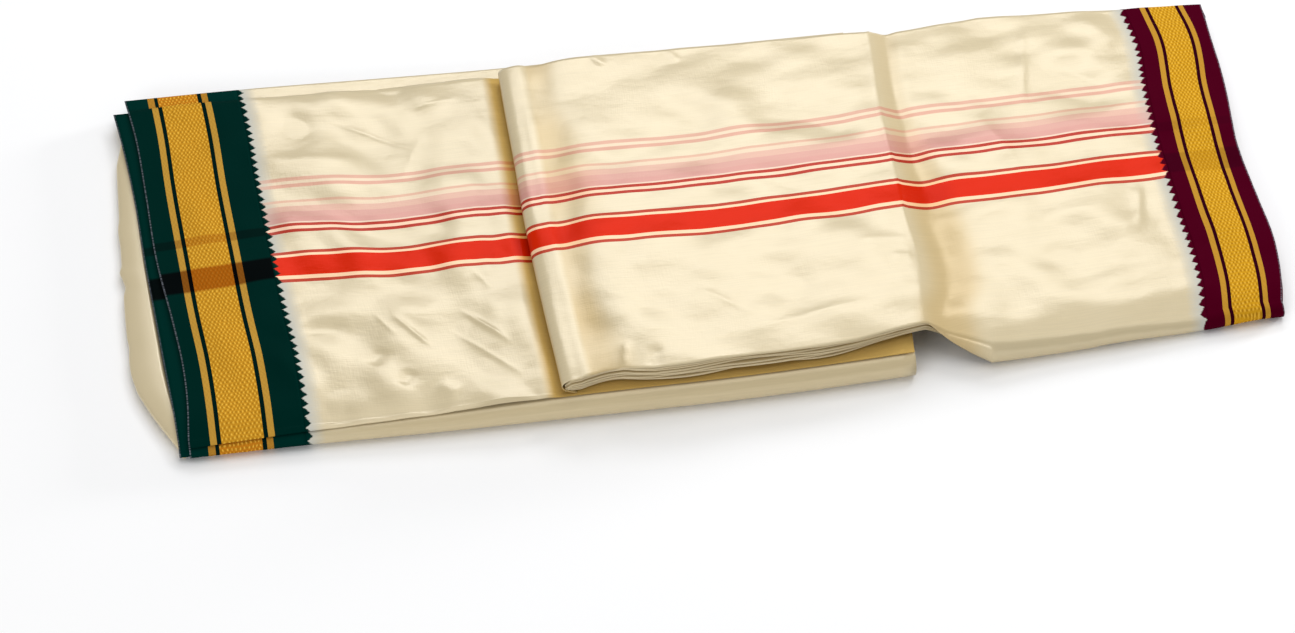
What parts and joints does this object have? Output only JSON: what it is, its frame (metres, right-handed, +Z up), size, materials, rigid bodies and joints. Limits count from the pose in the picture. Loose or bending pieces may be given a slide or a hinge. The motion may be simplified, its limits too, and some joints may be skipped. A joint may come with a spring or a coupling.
{
  "type": "folded dhoti cloth",
  "caption": "Cream silk dhoti cloth folded flat into a layered strip with overlapping ends, a green and gold border on the left and a maroon and gold one on the right.",
  "frame": {"origin": "on the table, under the middle of the folded cloth's bounding box", "axes": "+Z up; +X along the folded strip towards the maroon border; +Y towards the back fold edges, away from the front fold"},
  "size_m": [0.788, 0.3661, 0.0343],
  "materials": {
    "cream_silk": "satin",
    "green_border": "satin",
    "maroon_border": "satin"
  },
  "bodies": {
    "root": {"left_run_layers": "cream_silk", "left_third_border": "green_border", "left_top_border": "green_border", "left_top_field": "cream_silk", "left_wrap_border": "green_border", "left_wrap_field": "cream_silk", "right_run_layers": "cream_silk", "right_top_border": "maroon_border", "right_top_field": "cream_silk"}
  },
  "joints": []
}
